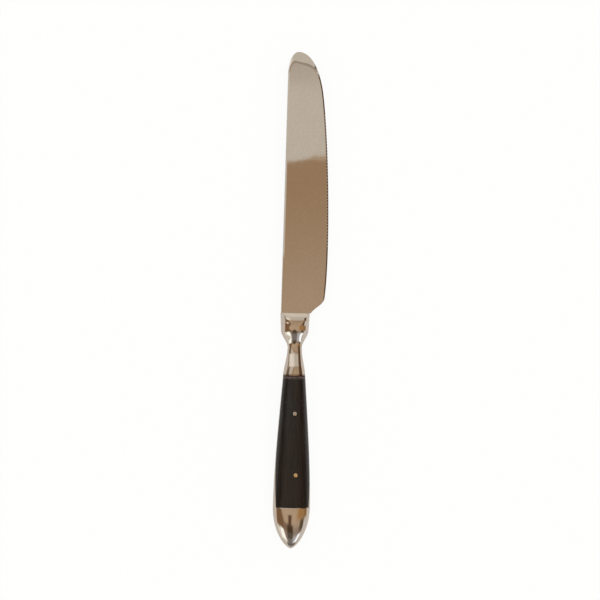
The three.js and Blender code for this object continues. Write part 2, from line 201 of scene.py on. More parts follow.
# Fineness along the handle and round the blade
SHOULDER_STEPS = 40
FACE_STEPS = 14
THROAT_STEPS = 50
NECK_STEPS = 14
RISE_STEPS = 50
WEB_STEPS = 60
POMMEL_STEPS = 70
SCALE_STEPS = 70
SCALE_END_STEPS = 8
CHOIL_STEPS = 30
EDGE_STEPS = 90
SPINE_STEPS = 60
EDGE_WALK_STEPS = 2000

# Points closer than this are one
WELD = 1e-4

BOLSTER_END = -BOLSTER_LENGTH
SCALE_FRONT = BOLSTER_END - SCALE_FRONT_SEAM
SCALE_END = BOLSTER_END - SCALE_LENGTH
BUTT = SCALE_END - POMMEL_LENGTH
THROAT_START = -THROAT_DISTANCE
NECK_START = THROAT_START - THROAT_LENGTH
RISE_START = NECK_START - NECK_LENGTH
RISE_END = RISE_START - RISE_LENGTH
LEVEL_START = BOLSTER_END - SWELL_LENGTH

# From the knife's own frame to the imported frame: the origin is under the level stretch of the back scale
REST = Vector((0, (LEVEL_START + SCALE_END) / 2, -HANDLE_THICKNESS / 2))
LAID = Matrix.Scale(MM, 4) @ Matrix.Translation(-REST)


# Form of the handle

def run(start, end, y):
    """A smooth run between two stations (y, value, rate of change)."""
    length = end[0] - start[0]
    t = (y - start[0]) / length
    ease = t * t * (3 - 2 * t)
    leave = t * (1 - t) ** 2 * length * start[2]
    arrive = t * t * (t - 1) * length * end[2]
    return start[1] + (end[1] - start[1]) * ease + leave + arrive


def through(stations, y):
    """The value at y on smooth runs through a row of stations. Past the last one it stays as it is."""
    for start, end in zip(stations, stations[1:]):
        if y > end[0]:
            return run(start, end, y)
    return stations[-1][1]


def pommel_share(y):
    """The pommel's share of the handle's full size, which falls to nothing at the butt."""
    u = min(1.0, (SCALE_END - y) / POMMEL_LENGTH)
    return (1 - u * u) ** POMMEL_POINT


def half_width(y):
    """Half the handle's width at a place along the axis."""
    front = (0.0, BOLSTER_FRONT_WIDTH / 2, HEAD_TAPER)
    head = (-BOLSTER_HEAD_LENGTH, BOLSTER_HEAD_WIDTH / 2, HEAD_TAPER)
    neck = (-NECK_DISTANCE, NECK_WIDTH / 2, 0.0)
    grip = (BOLSTER_END, HANDLE_FRONT_WIDTH / 2, -FRONT_FLARE)
    rear = (SCALE_END, HANDLE_REAR_WIDTH / 2, -REAR_FLARE)
    if y > SCALE_END:
        return through((front, head, neck, grip, rear), y)
    return rear[1] * pommel_share(y)


def head_height(y):
    """The head's face is a shallow arch along the axis."""
    return HANDLE_THICKNESS / 2 - (y + HEAD_CREST) ** 2 / (2 * HEAD_ARCH_RADIUS)


def shoulder_height(y):
    """The bolster's front rounds down to a blunt lip over the blade."""
    lip = SPINE_THICKNESS_HEEL / 2 + SHOULDER_LIP
    left = 1 + y / SHOULDER_LENGTH
    return head_height(y) - (head_height(0) - lip) * left ** SHOULDER_ROUNDNESS


def half_thickness(y):
    """Half the handle's thickness at a place along the axis."""
    head = (THROAT_START, head_height(THROAT_START), (THROAT_DISTANCE - HEAD_CREST) / HEAD_ARCH_RADIUS)
    neck = (NECK_START, NECK_THICKNESS / 2, 0.0)
    rise = (RISE_START, NECK_REAR_THICKNESS / 2, -NECK_SWELL)
    ferrule = (RISE_END, FERRULE_THICKNESS / 2, -FERRULE_SWELL)
    grip = (BOLSTER_END, HANDLE_FRONT_THICKNESS / 2, -FRONT_SWELL)
    level = (LEVEL_START, HANDLE_THICKNESS / 2, 0.0)
    rear = (SCALE_END, HANDLE_THICKNESS / 2, 0.0)
    if y > -SHOULDER_LENGTH:
        return shoulder_height(y)
    if y > head[0]:
        return head_height(y)
    if y > SCALE_END:
        return through((head, neck, rise, ferrule, grip, level, rear), y)
    return rear[1] * pommel_share(y)


def land_share(y):
    """How much of the width the flat land along the crown takes up."""
    front = (-FRONT_LAND_LENGTH, FRONT_LAND, 0.0)
    face = (-FACE_DISTANCE, HEAD_LAND, 0.0)
    head = (THROAT_START, HEAD_LAND, 0.0)
    neck = (NECK_START, NECK_LAND, 0.0)
    rise = (RISE_START, NECK_LAND, 0.0)
    grip = (BOLSTER_END, SCALE_LAND, 0.0)
    rear = (SCALE_END, SCALE_LAND, 0.0)
    butt = (BUTT, BUTT_LAND, 0.0)
    if y > front[0]:
        return FRONT_LAND
    return through((front, face, head, neck, rise, grip, rear, butt), y)


def middle(y):
    """How far the middle of the section lies from the axis."""
    head = (-BOLSTER_HEAD_LENGTH, -HEAD_OFFSET, 0.0)
    neck = (-NECK_DISTANCE, 0.0, 0.0)
    if y > head[0]:
        return head[1]
    return through((head, neck), y)


def half_web(y):
    """Half the thickness of the tang web between the scales."""
    wedge = max(0.0, SCALE_END + WEB_WEDGE_LENGTH - y) / WEB_WEDGE_LENGTH
    return (WEB_THICKNESS + (WEB_REAR_THICKNESS - WEB_THICKNESS) * wedge) / 2


def web_share(y):
    """The web's share of the handle's thickness. Beyond the scale's ends it stays as it is there."""
    beside = max(SCALE_END, min(BOLSTER_END, y))
    return half_web(beside) / half_thickness(beside)


def quarter(y):
    """A quarter of the handle's section, from the middle of the land out and down to the side.

    The flank is split where the web meets the scale, so that both pieces share that corner."""
    wide = half_width(y)
    high = half_thickness(y)
    land = wide * land_share(y)
    seam = math.acos(web_share(y))
    turns = [seam * i / UPPER_FLANK_STEPS for i in range(UPPER_FLANK_STEPS)]
    turns += [seam + (math.pi / 2 - seam) * i / LOWER_FLANK_STEPS for i in range(LOWER_FLANK_STEPS + 1)]
    flat = [(land * i / LAND_STEPS, high) for i in range(LAND_STEPS)]
    return flat + [(land + (wide - land) * math.sin(turn), high * math.cos(turn)) for turn in turns]


def ring(corner):
    """A whole closed ring from a quarter, beginning and ending in the middle of the upper face."""
    back = corner[-2::-1]
    right = corner + [(x, -z) for x, z in back]
    left = [(-x, -z) for x, z in corner[1:]] + [(-x, z) for x, z in back]
    return right + left


def end_drop(y, end, round_size):
    """How far a section is drawn in where a piece rounds over a length, by a depth, towards its end."""
    length, depth = round_size
    left = max(0.0, 1 - abs(y - end) / length)
    return depth * (1 - math.sqrt(1 - left * left))


def drawn_in(corner, drop):
    """A quarter of a section, made smaller by a drop on each side."""
    if drop == 0:
        return corner
    wide = corner[-1][0]
    high = corner[0][1]
    return [(x * (1 - drop / wide), z * (1 - drop / high)) for x, z in corner]


def frame_ring(y):
    return [Vector((middle(y) + x, y, z)) for x, z in ring(quarter(y))]


def web_ring(y):
    """The tang web's section: the handle's section cut off flat under both scales."""
    web = half_web(y)
    return [Vector((x, y, max(-web, min(web, z)))) for x, z in ring(quarter(y))]


def scale_ring(y, side):
    """A scale's section: the arch over the web, closed along the web."""
    corner = drawn_in(quarter(y), end_drop(y, SCALE_FRONT, SCALE_FRONT_ROUND))
    corner = corner[: LAND_STEPS + UPPER_FLANK_STEPS + 1]
    floor = half_web(y) + SCALE_SEAM
    arch = [(-x, z) for x, z in corner[:0:-1]] + corner
    arch = [(x, max(z, floor)) for x, z in arch]
    edge = arch[-1][0]
    bed = [(edge - 2 * edge * (i + 1) / SCALE_FLOOR_STEPS, floor) for i in range(SCALE_FLOOR_STEPS)]
    return [Vector((x, y, side * z)) for x, z in arch + bed]


def spaced(start, end, steps):
    """Even steps from a start towards an end, without the end."""
    return [start + (end - start) * i / steps for i in range(steps)]


def rounded_stations(end, length):
    """Stations back from an end that rounds over a length, crowded where it turns most."""
    turns = spaced(0, math.pi / 2, SCALE_END_STEPS)
    return [end - length * (1 - math.cos(turn)) for turn in turns]


# Mesh work

def rolled_sheet(rings):
    """A grid sheet laid over a row of rings, with its seam and any drawn-in end closed."""
    bm = bmesh.new()
    sheet = bmesh.ops.create_grid(bm, x_segments=len(rings[0]) - 1, y_segments=len(rings) - 1, size=1)
    places = [place for row in rings for place in row]
    for vert, place in zip(sheet["verts"], places):
        vert.co = place
    bmesh.ops.remove_doubles(bm, verts=bm.verts, dist=WELD)
    bmesh.ops.dissolve_degenerate(bm, edges=bm.edges, dist=WELD)
    return bm


def close_ends(bm):
    """Fills what is open and turns the faces outwards."""
    open_edges = [edge for edge in bm.edges if edge.is_boundary]
    bmesh.ops.holes_fill(bm, edges=open_edges)
    bmesh.ops.recalc_face_normals(bm, faces=bm.faces)


def soften(bm, edge_round):
    """Rounds the edges where the surface turns outwards sharply."""
    least = math.radians(edge_round.corner)
    corners = [edge for edge in bm.edges if edge.is_manifold and edge.calc_face_angle_signed() > least]
    bmesh.ops.bevel(
        bm, geom=corners, offset=edge_round.width, segments=edge_round.facets, profile=0.5, affect="EDGES",
        material=-1, clamp_overlap=True,
    )


def shade(bm, crease_degrees):
    """Smooth shading that breaks at every fold sharper than an angle."""
    crease = math.radians(crease_degrees)
    for face in bm.faces:
        face.smooth = True
    for edge in bm.edges:
        edge.smooth = edge.is_manifold and edge.calc_face_angle() < crease


def finished(name, bm, node, material):
    """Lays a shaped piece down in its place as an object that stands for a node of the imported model."""
    bm.transform(LAID)
    mesh = bpy.data.meshes.new(name)
    bm.to_mesh(mesh)
    bm.free()
    mesh.materials.append(material)
    piece = bpy.data.objects.new(name, mesh)
    bpy.context.scene.collection.objects.link(piece)
    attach(piece, "root")
    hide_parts(node)
    return piece


def cut_away(bm, cutter):
    """What is left of one closed mesh when another is cut out of it. Both are used up."""
    objects = []
    for shape in (bm, cutter):
        mesh = bpy.data.meshes.new("cut")
        shape.to_mesh(mesh)
        shape.free()
        objects.append(bpy.data.objects.new("cut", mesh))
        bpy.context.scene.collection.objects.link(objects[-1])
    body, tool = objects
    cut = body.modifiers.new("cut", "BOOLEAN")
    cut.operation = "DIFFERENCE"
    cut.solver = "EXACT"
    cut.object = tool
    left = bmesh.new()
    left.from_object(body, bpy.context.evaluated_depsgraph_get())
    for used in objects:
        bpy.data.objects.remove(used)
    return left


# Pieces

def make_handle_frame(material):
    """Bolster, neck, tang web and pommel in one forging, with the blade's socket in its front."""
    bolster = (
        spaced(0, -SHOULDER_LENGTH, SHOULDER_STEPS)
        + spaced(-SHOULDER_LENGTH, THROAT_START, FACE_STEPS)
        + spaced(THROAT_START, NECK_START, THROAT_STEPS)
        + spaced(NECK_START, RISE_START, NECK_STEPS)
        + spaced(RISE_START, BOLSTER_END, RISE_STEPS)
        + [BOLSTER_END]
    )
    web = spaced(BOLSTER_END, SCALE_END, WEB_STEPS) + [SCALE_END]
    turns = spaced(0, math.pi / 2, POMMEL_STEPS) + [math.pi / 2]
    pommel = [SCALE_END - POMMEL_LENGTH * math.sin(turn) for turn in turns]
    rings = [frame_ring(y) for y in bolster]
    rings += [web_ring(y) for y in web]
    rings += [frame_ring(y) for y in pommel]
    bm = rolled_sheet(rings)
    close_ends(bm)
    soften(bm, FRAME_ROUND)
    bm = cut_away(bm, tang_block(TANG_SEAM))
    shade(bm, HANDLE_CREASE)
    return finished("knife_frame", bm, "handle_frame", material)


def tang_block(room):
    """The tang's own space in the bolster, drawn out by some room on every side."""
    bm = bmesh.new()
    bmesh.ops.create_cube(bm, size=1)
    size = (TANG_WIDTH + 2 * room, 2 * (TANG_LENGTH + room), SPINE_THICKNESS_HEEL + 2 * room)
    bmesh.ops.scale(bm, vec=size, verts=bm.verts)
    return bm


def pin_bar(place, radius, length):
    """A round bar across the handle on a rivet's axis."""
    distance, offset = place
    bm = bmesh.new()
    bmesh.ops.create_cone(
        bm, cap_ends=True, segments=PIN_SIDES, radius1=radius, radius2=radius, depth=length,
        matrix=Matrix.Translation((offset, BOLSTER_END - distance, 0)),
    )
    return bm


def make_scale(name, node, side, material):
    """One scale between bolster and pommel, drilled for the pins."""
    rear = SCALE_END + SCALE_SEAM
    rounded = SCALE_FRONT_ROUND[0]
    stations = rounded_stations(SCALE_FRONT, rounded)
    stations += spaced(SCALE_FRONT - rounded, rear, SCALE_STEPS) + [rear]
    bm = rolled_sheet([scale_ring(y, side) for y in stations])
    close_ends(bm)
    soften(bm, SCALE_ROUND)
    for place in RIVETS.values():
        bm = cut_away(bm, pin_bar(place, RIVET_DIAMETER / 2 + RIVET_SEAM, DRILL_LENGTH))
    shade(bm, HANDLE_CREASE)
    return finished(name, bm, node, material)


def make_rivet(node, place, material):
    """A pin through both scales, peened to a very low crown at each end."""
    height = half_thickness(BOLSTER_END - place[0]) - RIVET_CROWN
    bm = pin_bar(place, RIVET_DIAMETER / 2, 2 * height)
    caps = [face for face in bm.faces if len(face.verts) == PIN_SIDES]
    for cap in caps:
        rise = Vector((0, 0, math.copysign(RIVET_CROWN, cap.normal.z)))
        for inset, lift in RIVET_CROWN_STEPS:
            bmesh.ops.inset_region(bm, faces=[cap], thickness=inset * RIVET_DIAMETER / 2)
            bmesh.ops.translate(bm, verts=cap.verts, vec=rise * lift)
    soften(bm, RIVET_ROUND)
    shade(bm, HANDLE_CREASE)
    return finished(f"pin_{node}", bm, node, material)


# Form of the blade

def outline_node(given):
    """Place and direction of a node of the outline."""
    x, y, heading = given
    turn = math.radians(heading)
    return Vector((x, y)), Vector((math.sin(turn), math.cos(turn)))


def span(start, leave, end, arrive):
    """Four control points of a curve that leaves one node and arrives at another along their headings."""
    (a, a_heading), (b, b_heading) = outline_node(start), outline_node(end)
    return a, a + a_heading * leave, b - b_heading * arrive, b


def straight(a, b):
    return a, a.lerp(b, 1 / 3), a.lerp(b, 2 / 3), b


def on_curve(curve, t):
    """Point and direction on a curve."""
    a, b, c, d = curve
    ab, bc, cd = a.lerp(b, t), b.lerp(c, t), c.lerp(d, t)
    abc, bcd = ab.lerp(bc, t), bc.lerp(cd, t)
    return abc.lerp(bcd, t), (bcd - abc).normalized()


def cutting_edge():
    """The curve of the edge from the heel to where it sweeps up to the tip."""
    return span(HEEL, HEEL_PULLS[1], SWEEP, SWEEP_PULLS[0])


class Stretch(NamedTuple):
    """Part of the blade's outline: a curve, its steps, the margin's width and drop at both ends, and whether
    the tip's crescent runs along it."""
    curve: tuple
    steps: int
    first: tuple = SHEER
    last: tuple = SHEER
    rolls: bool = False


def blade_margin():
    """Stretches of the outline from the tang up the edge, over the tip, down the spine and round the tang."""
    spine_rise = BLADE_LENGTH - SPINE_END_FROM_TIP
    lean = math.degrees(math.atan2(SPINE_HEEL - SPINE_TIP, spine_rise))
    spine = (-SPINE_TIP, spine_rise, 180 + lean)
    root = TANG_SEAM
    spine_low = Vector((-SPINE_HEEL, root + ROOT_STEP))
    spine_foot = Vector((-SPINE_HEEL, root))
    half_tang = TANG_WIDTH / 2
    tang = [Vector((-half_tang, root)), Vector((-half_tang, -TANG_LENGTH))]
    tang += [Vector((half_tang, -TANG_LENGTH)), Vector((half_tang, root))]
    return [
        Stretch(straight(tang[3], Vector(FOOT[:2])), 1),
        Stretch(span(FOOT, FOOT_PULL, CHOIL, CHOIL_PULLS[0]), CHOIL_STEPS),
        Stretch(span(CHOIL, CHOIL_PULLS[1], HEEL, HEEL_PULLS[0]), CHOIL_STEPS, SHEER, EDGE_BEVEL),
        Stretch(cutting_edge(), EDGE_STEPS, EDGE_BEVEL, EDGE_BEVEL),
        Stretch(span(SWEEP, SWEEP_PULLS[1], TIP, TIP_PULLS[0]), EDGE_STEPS, EDGE_BEVEL, EDGE_BEVEL, True),
        Stretch(span(TIP, TIP_PULLS[1], spine, SPINE_PULL), EDGE_STEPS, EDGE_BEVEL, SPINE_EASE, True),
        Stretch(straight(Vector(spine[:2]), spine_low), SPINE_STEPS, SPINE_EASE, SPINE_EASE),
        Stretch(straight(spine_low, spine_foot), 1, SPINE_EASE, SPINE_EASE),
        Stretch(straight(spine_foot, tang[0]), 1),
        *(Stretch(straight(start, end), 1) for start, end in zip(tang, tang[1:])),
    ]


def blade_face():
    """Half the blade's thickness as a plane over its outline: its value at the axis and its slopes across and
    along."""
    across = Vector((HEEL[0] + SPINE_HEEL, HEEL[1], (EDGE_THICKNESS - SPINE_THICKNESS_HEEL) / 2))
    fall = (SPINE_THICKNESS_TIP - SPINE_THICKNESS_HEEL) / 2
    upward = Vector((SPINE_HEEL - SPINE_TIP, BLADE_LENGTH, fall))
    normal = across.cross(upward)
    slope_x, slope_y = -normal.x / normal.z, -normal.y / normal.z
    return SPINE_THICKNESS_HEEL / 2 + SPINE_HEEL * slope_x, slope_x, slope_y


FACE_AT_AXIS, FACE_ACROSS, FACE_ALONG = blade_face()


def face_height(point):
    """Height of the ground face over the blade's middle plane."""
    return FACE_AT_AXIS + FACE_ACROSS * point.x + FACE_ALONG * point.y


def tip_roll(point):
    """How far the crescent at the tip reaches in from the outline. It runs out at the spine's end."""
    across = point.x - TIP_ROLL_OFFSET
    share = across / TIP_ROLL_SPANS[0 if across < 0 else 1]
    roll = TIP_ROLL * max(0.0, 1 - share * share)
    fade = (point.y - BLADE_LENGTH + SPINE_END_FROM_TIP) / TIP_ROLL_FADE
    return roll * min(1.0, fade) if across < 0 else roll


def raised(point, height):
    return Vector((point.x, point.y, height))


def margin_strip(point, heading, margin, roll):
    """Four points from the ground face out to the blade's rim, with a soft step where the tip rolls off."""
    width, drop = margin
    inner = point - Vector((heading.y, -heading.x)) * width - Vector((0, roll))
    top = face_height(inner)
    rim = face_height(point)
    if point.y > TANG_SEAM:
        rim = max(rim - drop, EDGE_LAND / 2)
    reach = (point - inner).length
    stepped = min(1.0, roll / TIP_STEP[1])
    strip = [raised(inner, top)]
    for third, place, sink in zip((1 / 3, 2 / 3), TIP_STEP, (0.0, TIP_STEP_DEPTH)):
        share = third if stepped == 0 else third + (place / reach - third) * stepped
        spot = inner.lerp(point, share)
        straight_down = top + (rim - top) * share
        strip.append(raised(spot, straight_down + (face_height(spot) - sink - straight_down) * stepped))
    return strip + [raised(point, rim)]


def blade_strips():
    """Strips across the eased margin, all the way round the blade."""
    strips = []
    for curve, steps, first, last, rolls in blade_margin():
        for t in spaced(0, 1, steps):
            point, heading = on_curve(curve, t)
            margin = [a + (b - a) * t for a, b in zip(first, last)]
            strips.append(margin_strip(point, heading, margin, tip_roll(point) if rolls else 0.0))
    return strips + strips[:1]


def serration_cutters():
    """A row of slanted round cutters along the edge, as one mesh."""
    bm = bmesh.new()
    edge = cutting_edge()
    walk = [on_curve(edge, i / EDGE_WALK_STEPS) for i in range(EDGE_WALK_STEPS + 1)]
    length = sum((b[0] - a[0]).length for a, b in zip(walk, walk[1:]))
    rise = math.tan(math.radians(SERRATION_SLANT))
    height = SERRATION_HEIGHT / 2 - EDGE_LAND / 2 + SERRATION_FLOOR
    oval = Matrix.Diagonal((SERRATION_HEIGHT / 2, SERRATION_WIDTH / 2, 1, 1))
    travelled = 0.0
    due = SERRATION_HEEL_GAP
    for (point, heading), (following, _) in zip(walk, walk[1:]):
        travelled += (following - point).length
        if travelled < due or due > length - SERRATION_TIP_GAP:
            continue
        axis = Vector((-heading.y, heading.x, rise)).normalized()
        side = raised(heading, 0)
        turn = Matrix((side.cross(axis), side, axis)).transposed().to_4x4()
        bmesh.ops.create_cone(
            bm, cap_ends=True, segments=CUTTER_SIDES, radius1=1, radius2=1, depth=SERRATION_CUTTER_LENGTH,
            matrix=Matrix.Translation(raised(following, height)) @ turn @ oval,
        )
        due += SERRATION_PITCH
    return bm


def make_blade(material):
    """Flat ground faces, eased spine, bevelled and scalloped edge, rolled-off tip and a tang."""
    upper = [list(row) for row in zip(*blade_strips())]
    under = [[raised(place, -place.z) for place in row] for row in reversed(upper)]
    bm = rolled_sheet(upper + under)
    close_ends(bm)
    soften(bm, BLADE_ROUND)
    bm = cut_away(bm, serration_cutters())
    shade(bm, BLADE_CREASE)
    return finished("knife_blade", bm, "blade", material)


# Nodes

class Grain(NamedTuple):
    """Noise in a finish: the size of its grains in millimetres, how many times as long they are along the
    knife, how much finer structure they have, and the levels between which they come to show."""
    size: float
    length: float
    detail: float = 2.0
    roughness: float = 0.5
    levels: tuple = (0.0, 1.0)


HAIRLINES = Grain(0.12, 160, 1.0)
SINGLE_LINES = Grain(0.4, 90, 2.0, 0.7, (0.56, 0.74))
BROAD_SMUDGES = Grain(14, 1.6, 3.0, 0.6, (0.35, 0.7))
SMALL_SMUDGES = Grain(2.2, 1.3, 3.0, 0.6, (0.25, 0.75))
# Patches that break up the painted shade and painted highlight along the bolster's joint with the scales
JOINT_PATCHES = Grain(1.6, 1, levels=(0.3, 0.6))
JOINT_PATCHES_LEAST = 0.45


def plug(tree, socket, value):
    """Links a socket to another one, or sets it to a plain value."""
    if isinstance(value, bpy.types.NodeSocket):
        tree.links.new(value, socket)
    else:
        socket.default_value = value


def add_node(tree, kind, inputs, **settings):
    """A new node with its properties set and its inputs filled, by name or number."""
    made = tree.nodes.new(kind)
    for name, value in settings.items():
        setattr(made, name, value)
    for label, value in inputs.items():
        plug(tree, made.inputs[label], value)
    return made


def calc(tree, operation, a, b=0.0):
    return add_node(tree, "ShaderNodeMath", {0: a, 1: b}, operation=operation).outputs[0]


def parts(tree, vector):
    """The three numbers of a vector."""
    return add_node(tree, "ShaderNodeSeparateXYZ", {0: vector}).outputs


def ramp(tree, value, low, high, floor=0.0, top=1.0):
    """A smooth change of a value between two levels."""
    inputs = {"Value": value, "From Min": low, "From Max": high, "To Min": floor, "To Max": top}
    return add_node(tree, "ShaderNodeMapRange", inputs, interpolation_type="SMOOTHSTEP").outputs[0]


def blend(tree, share, first, second):
    """From one colour to another."""
    mixed = add_node(tree, "ShaderNodeMix", {0: share, 6: first, 7: second}, data_type="RGBA")
    return mixed.outputs[2]


def cloud(tree, place, grain):
    """A grain's noise, before its levels."""
    broad = 1 / (MM * grain.size)
    drawn_out = 1 / (MM * grain.size * grain.length)
    inputs = {"Vector": place, "Scale": (broad, drawn_out, broad)}
    moved = add_node(tree, "ShaderNodeMapping", inputs).outputs[0]
    inputs = {"Vector": moved, "Scale": 1.0, "Detail": grain.detail, "Roughness": grain.roughness}
    return add_node(tree, "ShaderNodeTexNoise", inputs).outputs["Fac"]


def flecks(tree, place, grain, least=0.0, most=1.0):
    """A grain as a mask."""
    return ramp(tree, cloud(tree, place, grain), *grain.levels, least, most)


def new_group(name, ins, outs):
    """A shader group whose sockets are all plain numbers, apart from a place."""
    tree = bpy.data.node_groups.new(name, "ShaderNodeTree")
    for label in ins:
        kind = "NodeSocketVector" if label == "Place" else "NodeSocketFloat"
        tree.interface.new_socket(label, in_out="INPUT", socket_type=kind)
    for label in outs:
        tree.interface.new_socket(label, in_out="OUTPUT", socket_type="NodeSocketFloat")
    entry = tree.nodes.new("NodeGroupInput")
    leave = tree.nodes.new("NodeGroupOutput")
    return tree, entry.outputs, leave.inputs


def placed(tree, group, inputs):
    """A group set into a material, with its own values."""
    made = tree.nodes.new("ShaderNodeGroup")
    made.node_tree = group
    for label, value in inputs.items():
        plug(tree, made.inputs[label], value)
    return made.outputs


def laid_y(y):
    """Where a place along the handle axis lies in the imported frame."""
    return (LAID @ Vector((0, y, 0))).y


def polishing_lines():
    """Hairlines left along the knife by polishing: a fine height, and a few longer lines that show singly."""
    tree, given, kept = new_group("polishing_lines", ["Place"], ["Height", "Lines"])
    tree.links.new(cloud(tree, given["Place"], HAIRLINES), kept["Height"])
    tree.links.new(flecks(tree, given["Place"], SINGLE_LINES), kept["Lines"])
    return tree


def handling_marks():
    """Soft smudges from hands and cloths, as a mask."""
    tree, given, kept = new_group("handling_marks", ["Place"], ["Mask"])
    broad = flecks(tree, given["Place"], BROAD_SMUDGES)
    small = flecks(tree, given["Place"], SMALL_SMUDGES)
    tree.links.new(calc(tree, "MULTIPLY", broad, small), kept["Mask"])
    return tree


def joint_shade_and_sheen():
    """Patchy band by the bolster's joint, fading over a reach: painted shade on metal, painted highlight on
    wood.
    """
    tree, given, kept = new_group("joint_shade_and_sheen", ["Place", "Reach"], ["Mask"])
    along = parts(tree, given["Place"])["Y"]
    away = calc(tree, "ABSOLUTE", calc(tree, "SUBTRACT", along, laid_y(BOLSTER_END)))
    near = ramp(tree, calc(tree, "DIVIDE", away, given["Reach"]), 0.0, 1.0, 1.0, 0.0)
    patchy = flecks(tree, given["Place"], JOINT_PATCHES, JOINT_PATCHES_LEAST)
    tree.links.new(calc(tree, "MULTIPLY", near, patchy), kept["Mask"])
    return tree


# Materials

class Metal(NamedTuple):
    """A polished metal: its colour where bright and where worn, and its roughness where clean and where
    smudged."""
    bright: tuple
    worn: tuple
    roughness: tuple


# Metal, with the shares by which hairlines, smudges and mottle bring out the worn colour
BLADE_STEEL = Metal((0.555, 0.5, 0.44, 1), (0.49, 0.435, 0.375, 1), (0.015, 0.03))
FRAME_METAL = Metal((0.54, 0.475, 0.41, 1), (0.48, 0.41, 0.345, 1), (0.04, 0.08))
LINES_SHOW = 0.35
SMUDGES_SHOW = 0.3
MOTTLE = Grain(0.9, 1.5, 3.0, 0.65, (0.35, 0.65))
MOTTLE_SHOWS = 0.45
HAIRLINE_DEPTH = 0.00035
# Painted shade of the seam on the metal beside the joint with the scales, in patches, and its reach
JOINT_SHADE = (0.1, 0.065, 0.04, 1)
JOINT_SHADE_REACH = 1.5 * MM

# Wood, with the shares by which grain, pores and specks show
WOOD_BLACK = (0.0045, 0.0038, 0.0034, 1)
WOOD_BROWN = (0.0095, 0.0052, 0.0044, 1)
WOOD_BANDS = Grain(5.0, 3.5, levels=(0.35, 0.65))
GRAIN_COLOUR = (0.019, 0.0135, 0.0108, 1)
GRAIN_LINES = Grain(0.5, 26, 3.0, 0.6, (0.4, 0.7))
GRAIN_SHOWS = 0.7
GRAIN_DEPTH = 0.012
PORE_COLOUR = (0.003, 0.0027, 0.0025, 1)
PORES = Grain(0.22, 14, 1.0, levels=(0.62, 0.74))
PORES_SHOW = 0.7
SPECK_COLOUR = (0.12, 0.11, 0.105, 1)
SPECKS = Grain(0.9, 1, 0.0, levels=(0.84, 0.9))
SPECKS_SHOW = 0.5
# Lighter front end of the scales: rubbed wood with a painted highlight on its rounding, and its reach
RUBBED_WOOD_SHEEN = (0.115, 0.075, 0.062, 1)
RUBBED_SHEEN_REACH = 2.1 * MM
WOOD_ROUGHNESS = (0.2, 0.3)
WOOD_GLOSS = 0.33

# Brass
YELLOW_BRASS = (0.66, 0.47, 0.2, 1)
GREYED_BRASS = (0.47, 0.47, 0.49, 1)
TARNISH = (0.3, 0.2, 0.1, 1)
TARNISH_SHOWS = 0.5
PIN_LINE_DEPTH = 0.002
PIN_ROUGHNESS = (0.24, 0.4)


def new_material(name):
    material = bpy.data.materials.new(name)
    material.use_nodes = True
    tree = material.node_tree
    place = add_node(tree, "ShaderNodeTexCoord", {}).outputs["Object"]
    return material, tree, tree.nodes["Principled BSDF"], place


def feed(tree, surface, **values):
    """Sets or links sockets of the shader, named with underscores for spaces."""
    for name, value in values.items():
        plug(tree, surface.inputs[name.replace("_", " ")], value)


def relief(tree, height, depth):
    """The normal of a surface whose height runs over a depth in millimetres."""
    inputs = {"Height": height, "Distance": depth * MM, "Strength": 1.0}
    return add_node(tree, "ShaderNodeBump", inputs).outputs[0]


def faintly(tree, mask, share):
    """A mask that shows only by a share."""
    return calc(tree, "MULTIPLY", mask, share)


def dulled(tree, smudge, roughness):
    """Roughness that goes from clean to smudged."""
    return ramp(tree, smudge, 0.0, 1.0, *roughness)


def polished_metal(name, metal, lines, marks, joint_band):
    """Mirror-polished metal with hairlines along the knife, faint handling marks and painted shade at the
    scales' joint.
    """
    material, tree, surface, place = new_material(name)
    hairs = placed(tree, lines, {"Place": place})
    smudge = placed(tree, marks, {"Place": place})["Mask"]
    joint_shade = placed(tree, joint_band, {"Place": place, "Reach": JOINT_SHADE_REACH})["Mask"]
    colour = blend(tree, faintly(tree, hairs["Lines"], LINES_SHOW), metal.bright, metal.worn)
    colour = blend(tree, faintly(tree, smudge, SMUDGES_SHOW), colour, metal.worn)
    colour = blend(tree, flecks(tree, place, MOTTLE, most=MOTTLE_SHOWS), colour, metal.worn)
    # Painted shade of the seam, darkening the metal beside the joint
    colour = blend(tree, joint_shade, colour, JOINT_SHADE)
    feed(
        tree, surface, Base_Color=colour, Metallic=1.0, Roughness=dulled(tree, smudge, metal.roughness),
        Normal=relief(tree, hairs["Height"], HAIRLINE_DEPTH),
    )
    return material


def black_wood(marks, joint_band):
    """Satin black wood: fine straight grain, open pores, a few pale specks and a rubbed front end with a
    painted highlight.
    """
    material, tree, surface, place = new_material("black_wood")
    rubbed_sheen = placed(tree, joint_band, {"Place": place, "Reach": RUBBED_SHEEN_REACH})["Mask"]
    smudge = placed(tree, marks, {"Place": place})["Mask"]
    grain = cloud(tree, place, GRAIN_LINES)
    pores = flecks(tree, place, PORES)
    specks = flecks(tree, place, SPECKS)
    colour = blend(tree, flecks(tree, place, WOOD_BANDS), WOOD_BLACK, WOOD_BROWN)
    colour = blend(tree, ramp(tree, grain, *GRAIN_LINES.levels, 0.0, GRAIN_SHOWS), colour, GRAIN_COLOUR)
    colour = blend(tree, faintly(tree, pores, PORES_SHOW), colour, PORE_COLOUR)
    colour = blend(tree, faintly(tree, specks, SPECKS_SHOW), colour, SPECK_COLOUR)
    # Painted highlight, with rubbing, on the scales' front end
    colour = blend(tree, rubbed_sheen, colour, RUBBED_WOOD_SHEEN)
    height = calc(tree, "SUBTRACT", grain, pores)
    feed(
        tree, surface, Base_Color=colour, Roughness=dulled(tree, smudge, WOOD_ROUGHNESS),
        Specular_IOR_Level=WOOD_GLOSS, Normal=relief(tree, height, GRAIN_DEPTH),
    )
    return material


